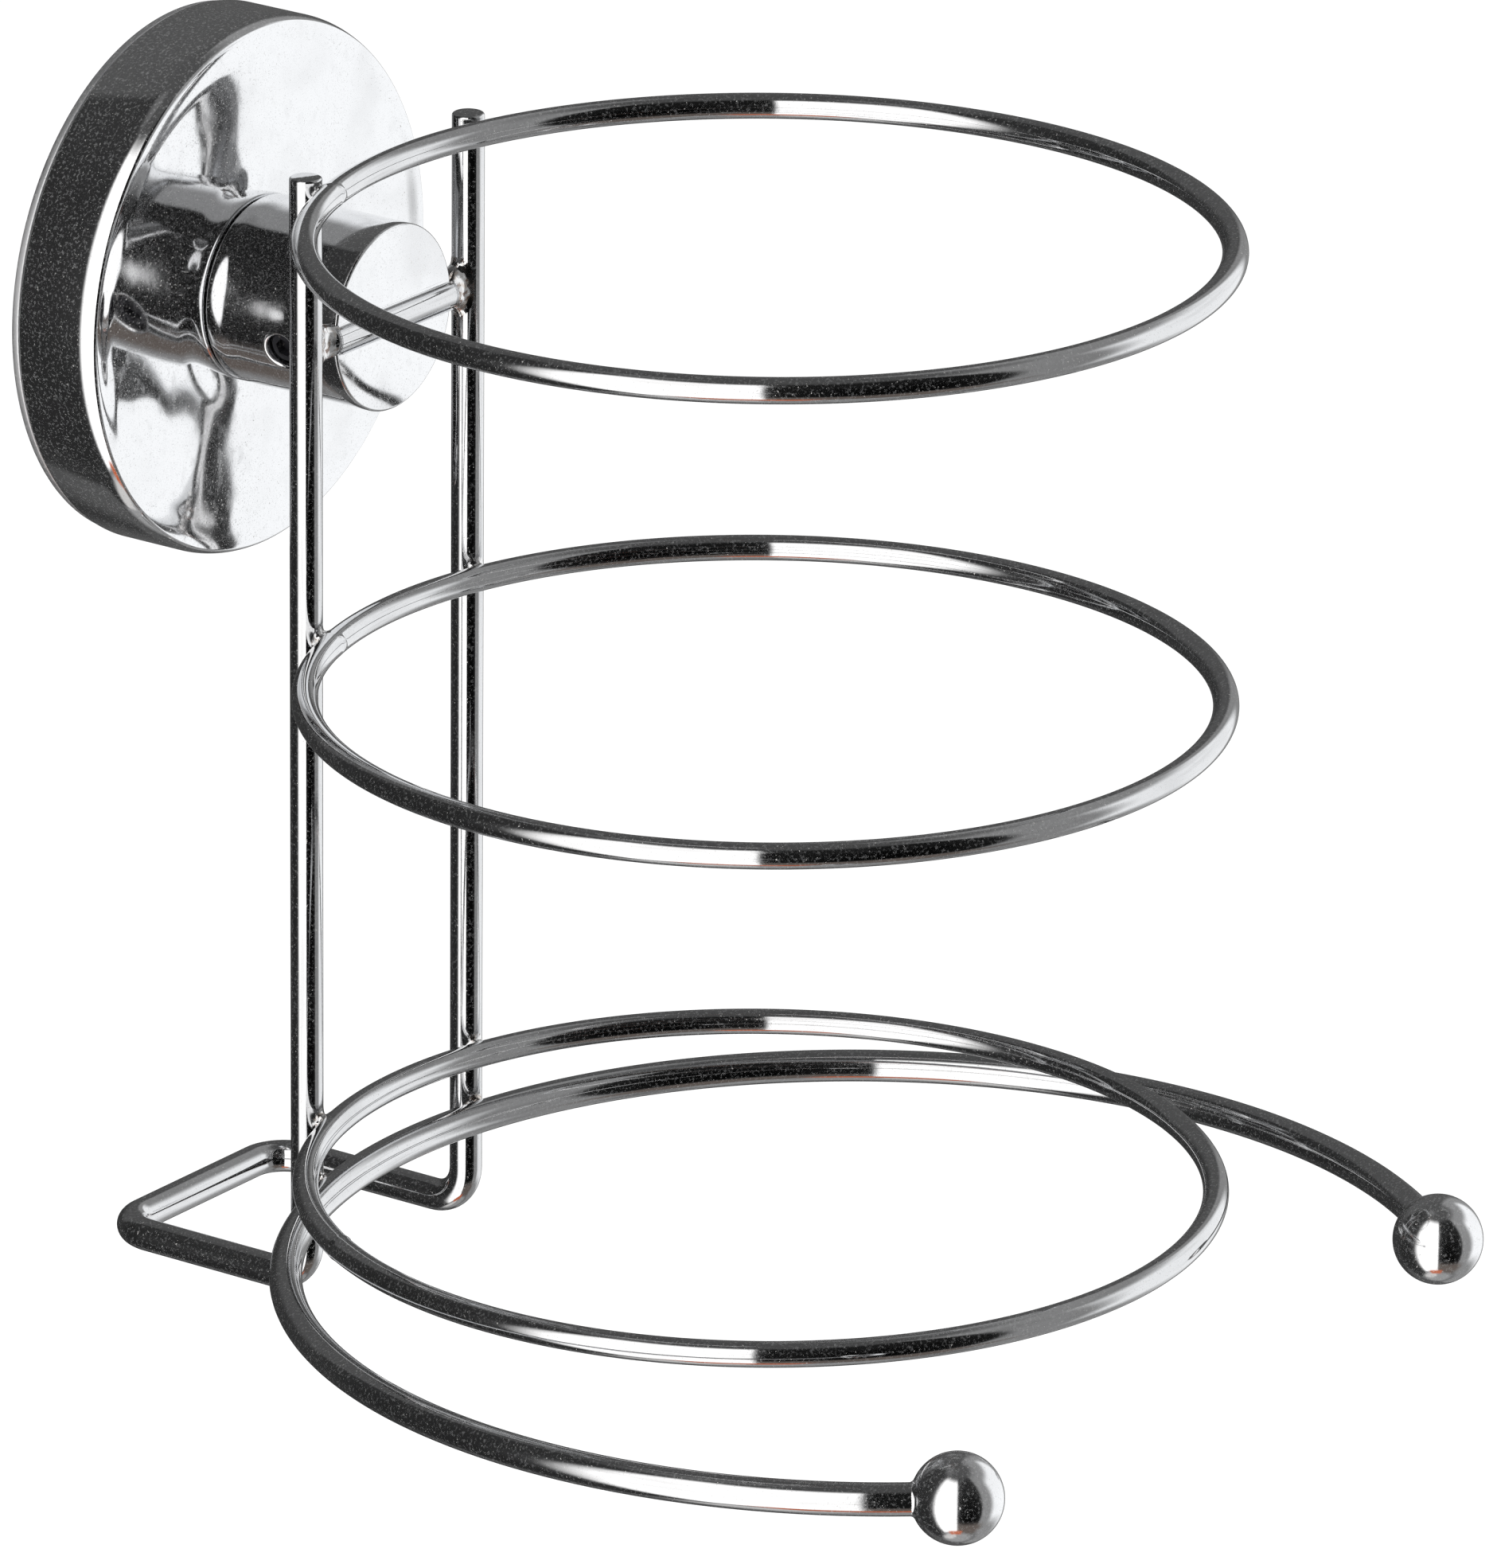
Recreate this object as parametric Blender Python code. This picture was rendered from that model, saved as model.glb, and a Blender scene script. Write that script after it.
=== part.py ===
"""Wall-mounted hair dryer holder: suction wall mount, post sleeve and welded wire rings.

Origin on the post's axis at the wall plane, +X right, -Y out of the wall towards the
person, +Z up.  Lengths below are millimetres; the objects are built in metres.
"""
import math

import bmesh
import bpy
from mathutils import Matrix, Vector

MM = 0.001

# ---- wires -------------------------------------------------------------------
RING_WIRE_R = 1.5            # 3.0 mm ring wire
FRAME_WIRE_R = 1.9           # 3.8 mm frame, bar and cradle wire
VERT_X = 15.4                # half the spacing of the two verticals
VERT_Y = -30.1               # plane of the verticals and the cross bar
VERT_TOP_Z = 20.6
FOOT_Z = -113.9              # legs and foot bar
FOOT_Y = -1.95               # foot bar lies against the wall
BEND_R = 4.6                 # centre line radius of the frame's bends
WELD_GAP = 0.1               # left between wires that are welded where they cross

RING_R = 52.2                # centre line radius of the dryer rings
RING_Z = {"ring_top": 19.1, "ring_middle": -34.8, "ring_bottom": -93.9}

CRADLE_R = 66.7              # centre line radius of the open cord cradle
CRADLE_Z = -101.5
CRADLE_END_DEG = -43.6       # angle of the right-hand ball about the cradle's centre
BALL_R = 5.3
BALL_HOLE_R = 2.15
BALL_HOLE_DEPTH = 3.6        # how far the wire's end reaches into the ball

# ---- post --------------------------------------------------------------------
POST_R = 11.0
POST_BORE_R = 9.1
POST_BACK_Y = -12.1
POST_END_Y = -30.9
POST_BORE_END_Y = -27.2
POST_BACK_CHAMFER = 0.3
POST_END_CHAMFER = 0.4
SADDLE_GAP = 0.15            # between the cross bar and its groove
GRUB_Y = -22.7
GRUB_DEG = 195.0             # direction of the grub screw about the post, from +X
GRUB_HOLE_R = 2.05
GRUB_R = 1.85
GRUB_OUTER = 10.3            # distance of the screw's socket end from the post's axis
GRUB_SHOULDER = 9.4
GRUB_TIP = 7.9
GRUB_TIP_R = 0.9
GRUB_HEX_AF = 2.0            # across flats
GRUB_HEX_DEPTH = 1.0
GRUB_CHAMFER = 0.2

SPIGOT_R = 9.0
SPIGOT_BACK_Y = -12.4
SPIGOT_END_Y = -26.6
SPIGOT_GROOVE_R = 7.5
SPIGOT_GROOVE_W = 4.0
SPIGOT_CHAMFER = 0.5
BOND_GAP = 0.15              # between a blind hole and what is bonded in it

# ---- wall unit ---------------------------------------------------------------
ROSETTE_R = 31.7
ROSETTE_BACK_Y = -1.3
ROSETTE_FRONT_Y = -11.9
ROSETTE_WALL = 1.1
ROSETTE_EDGE_R = 1.3
ROSETTE_HOLE_R = 9.7
COLLAR_OUT_R = 20.0          # collar pressed into the rosette; it drives the nut
COLLAR_SPOKE_R = 30.3        # its flange reaches the rosette's side wall
COLLAR_AF = 30.6             # its hexagonal bore, across flats
COLLAR_BLANK_R = 10.0        # bore of the turned blank, before the hexagon is cut
COLLAR_BACK_Y = -7.6
COLLAR_FRONT_Y = -10.7
COLLAR_FLANGE_Y = -9.3

BASE_R = 31.4
BASE_LIP = 1.0               # thickness of the lip against the wall
BASE_IN_R = 28.4
BASE_OUT_R = 30.1
BASE_TOP_Y = -6.2
BASE_PLATE = 1.6
BASE_BORE_R = 8.6
BASE_CHAMFER = 1.0

PAD_R = 27.8
PAD_T = 2.0
PAD_EDGE_T = 0.7             # thickness of the pad's rim
PAD_TAPER = 2.0              # width over which the rim thins
PAD_HUB_FILLET = 1.5
PAD_HUB_FOOT = 0.6
PAD_HUB_R = 8.0
PAD_HUB_Y = -4.2
PAD_POCKET_R = 6.8
PAD_POCKET_Y = -2.4

STUD_FLANGE_R = 6.5
STUD_FLANGE_BACK_Y = -2.5
STUD_FLANGE_FRONT_Y = -4.0
STUD_R = 4.9                 # crest radius of the 10 x 3 mm trapezoidal thread
STUD_CORE_R = 4.0            # plain end that the spigot is fixed on
STUD_SHOULDER_Y = -12.1
STUD_END_Y = -24.5

WASHER_IN_R = 9.2
WASHER_OUT_R = 14.0
WASHER_BACK_Y = -6.3
WASHER_FRONT_Y = -6.9

NUT_AF = 30.0
NUT_BORE_R = 5.0
NUT_BACK_Y = -7.0
NUT_FRONT_Y = -10.5

SEG = 48                     # segments of the turned parts
RING_SEG = 56
CRADLE_SEG = 48
SMALL_SEG = 40               # segments of the pad, collar and spigot
WIRE_BEVEL = 2               # bevel_resolution of the ring and cradle wires
CUT_MARGIN = 3.0             # how far a cutter runs past what it cuts
SMOOTH_DEG = 40.0            # edges sharper than this stay sharp

CHROME = (0.78, 0.79, 0.80, 1.0)
ZINC = (0.62, 0.63, 0.64, 1.0)
STEEL = (0.45, 0.46, 0.47, 1.0)
BLACK = (0.03, 0.03, 0.035, 1.0)
GREY = (0.16, 0.16, 0.17, 1.0)
RUBBER = (0.75, 0.78, 0.78, 1.0)


def clear_scene():
    for ob in list(bpy.data.objects):
        bpy.data.objects.remove(ob, do_unlink=True)


def material(name, rgba, metallic, roughness):
    m = bpy.data.materials.new(name)
    m.use_nodes = True
    bsdf = m.node_tree.nodes["Principled BSDF"]
    bsdf.inputs["Base Color"].default_value = rgba
    bsdf.inputs["Metallic"].default_value = metallic
    bsdf.inputs["Roughness"].default_value = roughness
    m.diffuse_color = rgba
    return m


def finish(ob, mat):
    """Give an object its material and smooth shading with sharp edges kept."""
    me = ob.data
    if mat is not None:
        me.materials.append(mat)
    me.shade_smooth()
    me.set_sharp_from_angle(angle=math.radians(SMOOTH_DEG))
    return ob


def from_bmesh(name, bm):
    """Write a bmesh (in mm) out as one named object in metres, faces outward."""
    bmesh.ops.remove_doubles(bm, verts=bm.verts, dist=1e-4)
    bmesh.ops.recalc_face_normals(bm, faces=bm.faces)
    bm.transform(Matrix.Scale(MM, 4))
    me = bpy.data.meshes.new(name)
    bm.to_mesh(me)
    bm.free()
    ob = bpy.data.objects.new(name, me)
    bpy.context.collection.objects.link(ob)
    return ob


def lathe(name, profile, mat, seg=SEG):
    """Spin a closed (radius, y) profile about the Y axis."""
    bm = bmesh.new()
    vs = [bm.verts.new((r, y, 0.0)) for r, y in profile]
    edges = [bm.edges.new((vs[k], vs[(k + 1) % len(vs)])) for k in range(len(vs))
             if profile[k][0] > 1e-6 or profile[(k + 1) % len(vs)][0] > 1e-6]
    bmesh.ops.spin(bm, geom=vs + edges, cent=(0, 0, 0), axis=(0, 1, 0), dvec=(0, 0, 0),
                   angle=2 * math.pi, steps=seg, use_duplicate=False)
    return finish(from_bmesh(name, bm), mat)


def wire(name, path, radius, mat, closed=False, bevel_res=WIRE_BEVEL):
    """Round wire along a path: a poly curve with a bevel and filled ends, made a mesh."""
    cu = bpy.data.curves.new(name, "CURVE")
    cu.dimensions = "3D"
    cu.bevel_depth = radius * MM
    cu.bevel_resolution = bevel_res
    cu.render_resolution_u = 0
    cu.use_fill_caps = True
    sp = cu.splines.new("POLY")
    sp.points.add(len(path) - 1)
    for pt, p in zip(sp.points, path):
        pt.co = (p[0] * MM, p[1] * MM, p[2] * MM, 1.0)
    sp.use_cyclic_u = closed
    tmp = bpy.data.objects.new(name + "_curve", cu)
    bpy.context.collection.objects.link(tmp)
    deps = bpy.context.evaluated_depsgraph_get()
    me = bpy.data.meshes.new_from_object(tmp.evaluated_get(deps))
    me.name = name
    bpy.data.objects.remove(tmp, do_unlink=True)
    ob = bpy.data.objects.new(name, me)
    bpy.context.collection.objects.link(ob)
    bm = bmesh.new()
    bm.from_mesh(me)
    bmesh.ops.remove_doubles(bm, verts=bm.verts, dist=1e-7)
    bmesh.ops.recalc_face_normals(bm, faces=bm.faces)
    bm.to_mesh(me)
    bm.free()
    me.materials.clear()
    return finish(ob, mat)


def rod(name, length, radius, mat, sides=16, across_flats=False):
    """Round or many-sided bar along +Z, its middle at the origin."""
    bm = bmesh.new()
    r = radius / math.cos(math.pi / sides) if across_flats else radius
    bmesh.ops.create_cone(bm, cap_ends=True, segments=sides, radius1=r, radius2=r,
                          depth=length)
    return finish(from_bmesh(name, bm), mat)


def place(ob, where, direction=None, base=Vector((0, 0, 1))):
    """Put an object at a point in mm, its base axis turned to a direction."""
    ob.location = Vector(where) * MM
    if direction is not None:
        ob.rotation_mode = "QUATERNION"
        ob.rotation_quaternion = base.rotation_difference(Vector(direction))
    return ob


def empty(name, where=(0, 0, 0), parent=None):
    """Pivot for a moving group, set on its joint's axis."""
    ob = bpy.data.objects.new(name, None)
    ob.empty_display_size = 0.01
    bpy.context.collection.objects.link(ob)
    ob.location = Vector(where) * MM
    ob.parent = parent
    return ob


def arc(centre, radius, a0, a1, steps, u, v):
    """Points of an arc in the plane of the unit vectors u and v (degrees)."""
    c, u, v = Vector(centre), Vector(u), Vector(v)
    out = []
    for k in range(steps + 1):
        a = math.radians(a0 + (a1 - a0) * k / steps)
        out.append(c + radius * (math.cos(a) * u + math.sin(a) * v))
    return out


def round_corners(corners, radius, steps=6):
    """Turn a polyline into one with rounded inner corners."""
    c = [Vector(p) for p in corners]
    out = [c[0]]
    for p, q, r in zip(c, c[1:], c[2:]):
        u, v = (p - q).normalized(), (r - q).normalized()
        half = math.acos(max(-1.0, min(1.0, u.dot(v)))) / 2
        back = radius / math.tan(half)
        centre = q + (u + v).normalized() * (radius / math.sin(half))
        s, e = q + u * back - centre, q + v * back - centre
        total = s.angle(e)
        for k in range(steps + 1):
            f = k / steps
            w = (math.sin((1 - f) * total) * s + math.sin(f * total) * e) / math.sin(total)
            out.append(centre + w)
    out.append(c[-1])
    return out


def subtract(target, cutter):
    """Cut one object out of another, and drop the cutter."""
    bpy.context.view_layer.update()
    mod = target.modifiers.new("cut", "BOOLEAN")
    mod.operation = "DIFFERENCE"
    mod.solver = "EXACT"
    mod.object = cutter
    deps = bpy.context.evaluated_depsgraph_get()
    me = bpy.data.meshes.new_from_object(target.evaluated_get(deps))
    target.modifiers.clear()
    old = target.data
    target.data = me
    me.name = target.name
    bpy.data.meshes.remove(old)
    bpy.data.objects.remove(cutter, do_unlink=True)
    target.data.set_sharp_from_angle(angle=math.radians(SMOOTH_DEG))


def hexagon(name, across_flats, y0, y1, mat=None):
    """Hexagonal prism about the Y axis between two planes."""
    ob = rod(name, abs(y1 - y0), across_flats / 2, mat, sides=6, across_flats=True)
    return place(ob, (0, (y0 + y1) / 2, 0), (0, 1, 0))


# ---- wall unit ---------------------------------------------------------------
def suction_pad(mat):
    """Flexible pad, flat on the wall, with a pocketed hub that holds the stud."""
    return lathe("suction_pad", [
        (0, 0), (PAD_R, 0), (PAD_R, -PAD_EDGE_T), (PAD_R - PAD_TAPER, -PAD_T),
        (PAD_HUB_R + PAD_HUB_FILLET, -PAD_T), (PAD_HUB_R, -PAD_T - PAD_HUB_FOOT),
        (PAD_HUB_R, PAD_HUB_Y), (PAD_POCKET_R, PAD_HUB_Y), (PAD_POCKET_R, PAD_POCKET_Y),
        (0, PAD_POCKET_Y)], mat, seg=SMALL_SEG)


def base_housing(mat):
    """Dish that presses on the wall round the pad; its lip shows behind the rosette."""
    plate_back = BASE_TOP_Y + BASE_PLATE
    return lathe("base_housing", [
        (BASE_IN_R, 0), (BASE_R, 0), (BASE_R, -BASE_LIP), (BASE_OUT_R, -BASE_LIP),
        (BASE_OUT_R, BASE_TOP_Y + BASE_CHAMFER), (BASE_OUT_R - BASE_CHAMFER, BASE_TOP_Y),
        (BASE_BORE_R, BASE_TOP_Y), (BASE_BORE_R, plate_back), (BASE_IN_R, plate_back)], mat)


def thrust_washer(mat):
    return lathe("thrust_washer", [
        (WASHER_IN_R, WASHER_BACK_Y), (WASHER_OUT_R, WASHER_BACK_Y),
        (WASHER_OUT_R, WASHER_FRONT_Y), (WASHER_IN_R, WASHER_FRONT_Y)], mat, seg=32)


def locking_nut(mat):
    """Hexagonal nut that the rosette turns; it pulls the stud and pad off the wall."""
    ob = hexagon("locking_nut", NUT_AF, NUT_BACK_Y, NUT_FRONT_Y, mat)
    bore = rod("nut_bore", -2 * NUT_FRONT_Y + CUT_MARGIN, NUT_BORE_R, mat, sides=24)
    subtract(ob, place(bore, (0, 0, 0), (0, 1, 0)))
    return ob


def rosette_cover(mat):
    """Turned cup: mirror face with a centre hole and a rounded front edge."""
    edge = []
    for k in range(5):
        a = math.radians(90 * k / 4)
        edge.append((ROSETTE_R - ROSETTE_EDGE_R + ROSETTE_EDGE_R * math.cos(a),
                     ROSETTE_FRONT_Y + ROSETTE_EDGE_R - ROSETTE_EDGE_R * math.sin(a)))
    inside = ROSETTE_FRONT_Y + ROSETTE_WALL
    return lathe("rosette_cover", [
        (ROSETTE_R - ROSETTE_WALL, ROSETTE_BACK_Y), (ROSETTE_R, ROSETTE_BACK_Y)] + edge + [
        (ROSETTE_HOLE_R, ROSETTE_FRONT_Y), (ROSETTE_HOLE_R, inside),
        (ROSETTE_R - ROSETTE_WALL, inside)], mat)


def drive_collar(mat):
    """Moulded ring pressed into the rosette; its hexagonal bore turns the nut."""
    ob = lathe("drive_collar", [
        (COLLAR_BLANK_R, COLLAR_BACK_Y), (COLLAR_OUT_R, COLLAR_BACK_Y), (COLLAR_OUT_R, COLLAR_FLANGE_Y),
        (COLLAR_SPOKE_R, COLLAR_FLANGE_Y), (COLLAR_SPOKE_R, COLLAR_FRONT_Y),
        (COLLAR_BLANK_R, COLLAR_FRONT_Y)], mat, seg=SMALL_SEG)
    subtract(ob, hexagon("collar_bore", COLLAR_AF, COLLAR_FRONT_Y - CUT_MARGIN,
                         COLLAR_BACK_Y + CUT_MARGIN))
    return ob


def pad_stud(mat):
    """Stud bonded in the pad's hub: flange, trapezoidal thread, plain end."""
    return lathe("pad_stud", [
        (0, STUD_FLANGE_BACK_Y), (STUD_FLANGE_R, STUD_FLANGE_BACK_Y),
        (STUD_FLANGE_R, STUD_FLANGE_FRONT_Y), (STUD_R, STUD_FLANGE_FRONT_Y),
        (STUD_R, STUD_SHOULDER_Y), (STUD_CORE_R, STUD_SHOULDER_Y),
        (STUD_CORE_R, STUD_END_Y), (0, STUD_END_Y)], mat, seg=24)


def spigot(mat):
    """Turned spigot fixed on the stud; its groove takes the grub screw's tip."""
    g0, g1 = GRUB_Y + SPIGOT_GROOVE_W / 2, GRUB_Y - SPIGOT_GROOVE_W / 2
    core, c = STUD_CORE_R + BOND_GAP, SPIGOT_CHAMFER
    hole_end = STUD_END_Y - BOND_GAP
    return lathe("spigot", [
        (core, SPIGOT_BACK_Y), (SPIGOT_R, SPIGOT_BACK_Y), (SPIGOT_R, g0),
        (SPIGOT_GROOVE_R, g0 - c), (SPIGOT_GROOVE_R, g1 + c), (SPIGOT_R, g1),
        (SPIGOT_R, SPIGOT_END_Y + c), (SPIGOT_R - c, SPIGOT_END_Y), (0, SPIGOT_END_Y),
        (0, hole_end), (core, hole_end)], mat, seg=SMALL_SEG)


# ---- holder ------------------------------------------------------------------
def loop_centre_y(loop_r, wire_r):
    """Y of the centre of a loop that lies against the fronts of both verticals."""
    reach = loop_r + wire_r + FRAME_WIRE_R + WELD_GAP
    return VERT_Y - math.sqrt(reach ** 2 - VERT_X ** 2)


def post_sleeve(mat):
    """Post: blind sleeve over the spigot, saddle groove across its end for the bar."""
    back, end = POST_BACK_CHAMFER, POST_END_CHAMFER
    ob = lathe("post_sleeve", [
        (POST_BORE_R, POST_BACK_Y), (POST_R - back, POST_BACK_Y),
        (POST_R, POST_BACK_Y - back), (POST_R, POST_END_Y + end),
        (POST_R - end, POST_END_Y), (0, POST_END_Y),
        (0, POST_BORE_END_Y), (POST_BORE_R, POST_BORE_END_Y)], mat)
    d = grub_direction()
    wall = POST_R - POST_BORE_R
    bore = rod("grub_bore", wall + 2 * CUT_MARGIN, GRUB_HOLE_R, mat, sides=20)
    subtract(ob, place(bore, d * (POST_R - wall / 2) + Vector((0, GRUB_Y, 0)), d))
    saddle = rod("saddle", 2 * POST_R + 2 * CUT_MARGIN, FRAME_WIRE_R + SADDLE_GAP, mat,
                 sides=20)
    subtract(ob, place(saddle, (0, VERT_Y, 0), (1, 0, 0)))
    return ob


def grub_direction():
    a = math.radians(GRUB_DEG)
    return Vector((math.cos(a), 0, math.sin(a)))


def grub_screw(mat):
    """Socket grub screw, turned about its own +Y and laid along its hole."""
    ob = lathe("grub_screw", [
        (0, GRUB_TIP), (GRUB_TIP_R, GRUB_TIP), (GRUB_R, GRUB_SHOULDER),
        (GRUB_R, GRUB_OUTER - GRUB_CHAMFER), (GRUB_R - GRUB_CHAMFER, GRUB_OUTER),
        (0, GRUB_OUTER)], mat, seg=20)
    subtract(ob, hexagon("socket", GRUB_HEX_AF, GRUB_OUTER - GRUB_HEX_DEPTH,
                         GRUB_OUTER + CUT_MARGIN))
    return place(ob, (0, GRUB_Y, 0), grub_direction(), base=Vector((0, 1, 0)))


def frame_wire(mat):
    """One bent wire: down, back to the wall, across, forward and up again."""
    path = [(-VERT_X, VERT_Y, VERT_TOP_Z), (-VERT_X, VERT_Y, FOOT_Z),
            (-VERT_X, FOOT_Y, FOOT_Z), (VERT_X, FOOT_Y, FOOT_Z),
            (VERT_X, VERT_Y, FOOT_Z), (VERT_X, VERT_Y, VERT_TOP_Z)]
    return wire("frame_wire", round_corners(path, BEND_R), FRAME_WIRE_R, mat, bevel_res=3)


def cross_bar(mat):
    """Bar between the verticals, lying in the groove across the post's end."""
    length = 2 * (VERT_X - FRAME_WIRE_R - SADDLE_GAP)
    return place(rod("cross_bar", length, FRAME_WIRE_R, mat), (0, VERT_Y, 0), (1, 0, 0))


def dryer_ring(name, z, mat):
    """Welded ring, centred on its own origin."""
    path = arc((0, 0, 0), RING_R, 0, 360, RING_SEG, (1, 0, 0), (0, 1, 0))[:-1]
    centre = (0, loop_centre_y(RING_R, RING_WIRE_R), z)
    return place(wire(name, path, RING_WIRE_R, mat, closed=True), centre)


def cord_cradle(mat):
    """Open loop below the rings; both ends stop inside their balls' holes."""
    inset = math.degrees((BALL_R - BALL_HOLE_DEPTH + 2 * BOND_GAP) / CRADLE_R)
    a0 = CRADLE_END_DEG + inset
    path = arc((0, 0, 0), CRADLE_R, a0, 180 - a0, CRADLE_SEG, (1, 0, 0), (0, 1, 0))
    centre = (0, loop_centre_y(CRADLE_R, FRAME_WIRE_R), CRADLE_Z)
    return place(wire("cord_cradle", path, FRAME_WIRE_R, mat), centre)


def end_ball(name, sign, mat):
    """Ball with a blind hole for the cradle's end, its hole along the wire."""
    a = math.radians(CRADLE_END_DEG)
    bm = bmesh.new()
    bmesh.ops.create_uvsphere(bm, u_segments=16, v_segments=10, radius=BALL_R)
    ob = finish(from_bmesh(name, bm), mat)
    depth = BALL_HOLE_DEPTH + CUT_MARGIN
    subtract(ob, place(rod("hole", depth, BALL_HOLE_R, mat, sides=12),
                       (0, 0, BALL_R - BALL_HOLE_DEPTH + depth / 2)))
    centre_y = loop_centre_y(CRADLE_R, FRAME_WIRE_R)
    where = (sign * CRADLE_R * math.cos(a), centre_y + CRADLE_R * math.sin(a), CRADLE_Z)
    return place(ob, where, (-sign * math.sin(a), math.cos(a), 0))


def build():
    clear_scene()
    chrome = material("chrome", CHROME, 1.0, 0.08)
    zinc = material("zinc", ZINC, 1.0, 0.3)
    steel = material("steel", STEEL, 1.0, 0.35)
    black = material("black_oxide", BLACK, 0.6, 0.4)
    grey = material("grey_nylon", GREY, 0.0, 0.5)
    rubber = material("pad_rubber", RUBBER, 0.0, 0.4)

    wall_unit = empty("wall_unit")
    disc_pivot = empty("disc_pivot", parent=wall_unit)
    stud_slide = empty("stud_slide", parent=wall_unit)
    holder_pivot = empty("holder_pivot", parent=stud_slide)
    groups = {
        wall_unit: [suction_pad(rubber), base_housing(chrome), thrust_washer(steel)],
        disc_pivot: [rosette_cover(chrome), drive_collar(grey), locking_nut(grey)],
        stud_slide: [pad_stud(steel), spigot(zinc)],
        holder_pivot: [post_sleeve(chrome), grub_screw(black), frame_wire(chrome),
                       cross_bar(chrome), cord_cradle(chrome),
                       end_ball("ball_left", -1, chrome),
                       end_ball("ball_right", 1, chrome)]
        + [dryer_ring(name, z, chrome) for name, z in RING_Z.items()],
    }
    for pivot, members in groups.items():
        for ob in members:
            ob.parent = pivot


build()
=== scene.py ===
"""Looks of the wall-mounted hair dryer holder.

Smooth wires, rings, disc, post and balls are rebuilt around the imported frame, welds are
added where the wires meet, and every part gets a procedural metal, nylon or rubber.
"""
import math

import bmesh
import bpy
import numpy as np
from mathutils import Matrix, Vector, noise


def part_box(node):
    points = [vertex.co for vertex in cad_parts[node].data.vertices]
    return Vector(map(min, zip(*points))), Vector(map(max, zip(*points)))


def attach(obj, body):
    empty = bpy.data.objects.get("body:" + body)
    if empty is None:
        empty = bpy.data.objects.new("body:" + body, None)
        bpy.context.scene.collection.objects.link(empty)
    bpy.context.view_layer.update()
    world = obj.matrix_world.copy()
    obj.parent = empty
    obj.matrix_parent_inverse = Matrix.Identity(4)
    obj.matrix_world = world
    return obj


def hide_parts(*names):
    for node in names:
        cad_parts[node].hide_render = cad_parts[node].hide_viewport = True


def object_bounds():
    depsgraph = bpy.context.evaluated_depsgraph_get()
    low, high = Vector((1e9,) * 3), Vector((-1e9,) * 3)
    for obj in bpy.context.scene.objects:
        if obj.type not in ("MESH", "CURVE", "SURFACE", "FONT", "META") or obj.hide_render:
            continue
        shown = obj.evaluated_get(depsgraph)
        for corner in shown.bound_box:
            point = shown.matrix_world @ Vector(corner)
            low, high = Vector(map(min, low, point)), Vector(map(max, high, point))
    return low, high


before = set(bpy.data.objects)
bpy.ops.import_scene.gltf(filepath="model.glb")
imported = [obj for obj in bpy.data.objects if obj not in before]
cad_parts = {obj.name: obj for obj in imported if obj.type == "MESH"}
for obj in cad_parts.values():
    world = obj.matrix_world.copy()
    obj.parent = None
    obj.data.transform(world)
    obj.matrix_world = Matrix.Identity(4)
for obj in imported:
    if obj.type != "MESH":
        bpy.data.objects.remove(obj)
CAD_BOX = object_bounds()

MM = 0.001
Z = Vector((0, 0, 1))

# ---- sizes read from the frame -------------------------------------------------


def box(node):
    """Lowest and highest corner of a CAD node."""
    lo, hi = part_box(node)
    return Vector(lo), Vector(hi)


BAR_LO, BAR_HI = box("cross_bar")
FRAME_R = (BAR_HI.z - BAR_LO.z) / 2
FRAME_LO, FRAME_HI = box("frame_wire")
VERT_X = FRAME_HI.x - FRAME_R
VERT_Y = FRAME_LO.y + FRAME_R
VERT_TOP = FRAME_HI.z
FOOT_Z = FRAME_LO.z + FRAME_R
FOOT_Y = FRAME_HI.y - FRAME_R
BEND_R = 4.6 * MM

RINGS = ("ring_top", "ring_middle", "ring_bottom")
RING_LO, RING_HI = box("ring_top")
RING_WIRE_R = (RING_HI.z - RING_LO.z) / 2
RING_R = (RING_HI.x - RING_LO.x) / 2 - RING_WIRE_R

CRADLE_LO, CRADLE_HI = box("cord_cradle")
CRADLE_R = CRADLE_HI.x - FRAME_R
CRADLE_AT = Vector((0, CRADLE_HI.y - FRAME_R - CRADLE_R, (CRADLE_LO.z + CRADLE_HI.z) / 2))
BALL_LO, BALL_HI = box("ball_right")
BALL_R = (BALL_HI.x - BALL_LO.x) / 2
BALL_AT = (BALL_LO + BALL_HI) / 2
CRADLE_END = math.atan2(BALL_AT.y - CRADLE_AT.y, BALL_AT.x)

POST_LO, POST_HI = box("post_sleeve")
POST_R = POST_HI.x
POST_END = POST_LO.y
POST_BACK = POST_HI.y
DISC_LO, DISC_HI = box("rosette_cover")
DISC_R = DISC_HI.x
DISC_FRONT = DISC_LO.y
DISC_BACK = DISC_HI.y
HOUSING_LO, HOUSING_HI = box("base_housing")
HOUSING_R = HOUSING_HI.x
HOUSING_FRONT = HOUSING_LO.y
PAD_LO, PAD_HI = box("suction_pad")
PAD_R = PAD_HI.x
GRUB_LO, GRUB_HI = box("grub_screw")
GRUB_AT = (GRUB_LO + GRUB_HI) / 2
GRUB_ANGLE = math.atan2(GRUB_AT.z, GRUB_AT.x) % (2 * math.pi)
GRUB_OUT = Vector((math.cos(GRUB_ANGLE), 0, math.sin(GRUB_ANGLE)))

WIRE_SIDES = 40
TURNED_SEGMENTS = 192
ALONG = "along"              # vertex attribute: place on a wire
ON_AXIS = 1e-9               # a turned profile's point nearer the axis than this lies on it
QUARTER_STEPS = [math.radians(d) for d in (22.5, 45, 67.5, 90)]  # loops of a worn edge


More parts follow.
